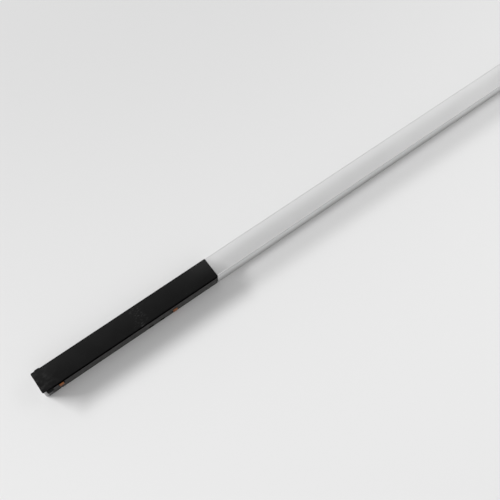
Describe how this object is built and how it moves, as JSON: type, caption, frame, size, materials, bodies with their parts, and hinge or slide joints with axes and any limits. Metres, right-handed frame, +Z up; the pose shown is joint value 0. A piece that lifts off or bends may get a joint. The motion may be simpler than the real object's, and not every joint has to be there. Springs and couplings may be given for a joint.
{
  "type": "linear track light insert",
  "caption": "Slim bar with a black adapter box, a locking latch and sprung side contacts at one end, in line with a long white light section with an opal cover.",
  "frame": {"origin": "centre of the flat underside, midway between the two ends", "axes": "+X along the bar from the adapter's free end to the light's far end, +Y to the left, +Z up out of the light face"},
  "size_m": [0.67, 0.0286, 0.017],
  "materials": {
    "black_cover": "fine satin texture, black",
    "black_housing": "satin moulded, black",
    "black_latch": "satin moulded, black",
    "grey_tab": "satin moulded, light grey",
    "spring_steel": "drawn wire",
    "brown_insulator": "moulded brown insulating plastic",
    "brass_plate": "stamped",
    "copper_contact": "stamped copper alloy, slightly tarnished",
    "zinc_screws": "zinc plated",
    "film": "thin film",
    "circuit_board": "solder mask",
    "green_terminal": "moulded",
    "capacitor_sleeve": "shrink sleeve",
    "ferrite": "sintered ferrite",
    "winding": "enamelled wire under tape",
    "chip_plastic": "moulded",
    "wire_sleeve": "insulated wire",
    "steel_bar": "zinc plated",
    "white_profile": "white powder coat, satin",
    "opal_diffuser": "opal, satin",
    "white_plastic": "satin moulded, white",
    "bare_aluminium": "extruded",
    "white_board": "white solder mask",
    "led_package": "phosphor in a white frame"
  },
  "bodies": {
    "lamp": {"adapter_cover": "black_cover", "adapter_housing": "black_housing", "latch_block": "black_housing", "ear_spring": "spring_steel", "front_contact_carrier": "brown_insulator", "rear_contact_carrier": "brown_insulator", "front_contact_plates": "brass_plate", "rear_contact_plates": "brass_plate", "front_left_contact_spring": "spring_steel", "front_right_contact_spring": "spring_steel", "rear_left_contact_spring": "spring_steel", "rear_right_contact_spring": "spring_steel", "cover_screws": "zinc_screws", "latch_screws": "zinc_screws", "insulation_sheet": "film", "driver_board": "circuit_board", "board_screws": "zinc_screws", "input_terminal": "green_terminal", "output_terminal": "green_terminal", "bulk_capacitor": "capacitor_sleeve", "output_capacitor": "capacitor_sleeve", "choke_core": "ferrite", "transformer_core": "ferrite", "transformer_winding": "winding", "power_transistor": "chip_plastic", "controller_chip": "chip_plastic", "chip_resistors": "chip_plastic", "supply_wires": "wire_sleeve", "lamp_wires": "wire_sleeve", "coupling_bar": "steel_bar", "coupling_screws": "zinc_screws", "light_profile": "white_profile", "diffuser": "opal_diffuser", "light_end_plate": "white_plastic", "light_end_cap": "white_plastic", "end_cap_screws": "zinc_screws", "heat_spreader": "bare_aluminium", "led_board": "white_board", "led_packages": "led_package", "led_board_screws": "zinc_screws", "led_connector": "white_plastic"},
    "release_tab": {"release_tab": "grey_tab"},
    "left_ear": {"locking_ear_left": "black_latch"},
    "right_ear": {"locking_ear_right": "black_latch"},
    "front_left_contact": {"front_left_contact_shoe": "copper_contact"},
    "front_right_contact": {"front_right_contact_shoe": "copper_contact"},
    "rear_left_contact": {"rear_left_contact_shoe": "copper_contact"},
    "rear_right_contact": {"rear_right_contact_shoe": "copper_contact"}
  },
  "joints": [
    {"name": "release_tab_slide", "type": "slide", "parent": "lamp", "child": "release_tab", "axis": [-1, 0, 0], "range_m": [0, 0.0024]},
    {"name": "left_ear_slide", "type": "slide", "parent": "lamp", "child": "left_ear", "axis": [0, -1, 0], "range_m": [0, 0.0024], "stiffness_N_per_m": 400, "springref_m": -0.003, "deforming": ["ear_spring"]},
    {"name": "right_ear_slide", "type": "slide", "parent": "lamp", "child": "right_ear", "axis": [0, 1, 0], "range_m": [0, 0.0024], "stiffness_N_per_m": 400, "springref_m": -0.003},
    {"name": "front_left_contact_slide", "type": "slide", "parent": "lamp", "child": "front_left_contact", "axis": [0, -1, 0], "range_m": [0, 0.0012], "stiffness_N_per_m": 600, "springref_m": -0.001, "deforming": ["front_left_contact_spring"]},
    {"name": "front_right_contact_slide", "type": "slide", "parent": "lamp", "child": "front_right_contact", "axis": [0, 1, 0], "range_m": [0, 0.0012], "stiffness_N_per_m": 600, "springref_m": -0.001, "deforming": ["front_right_contact_spring"]},
    {"name": "rear_left_contact_slide", "type": "slide", "parent": "lamp", "child": "rear_left_contact", "axis": [0, -1, 0], "range_m": [0, 0.0012], "stiffness_N_per_m": 600, "springref_m": -0.001, "deforming": ["rear_left_contact_spring"]},
    {"name": "rear_right_contact_slide", "type": "slide", "parent": "lamp", "child": "rear_right_contact", "axis": [0, 1, 0], "range_m": [0, 0.0012], "stiffness_N_per_m": 600, "springref_m": -0.001, "deforming": ["rear_right_contact_spring"]}
  ],
  "couplings": [
    {"joint": "left_ear_slide", "follows": "release_tab_slide", "ratio": 1},
    {"joint": "right_ear_slide", "follows": "release_tab_slide", "ratio": 1}
  ]
}
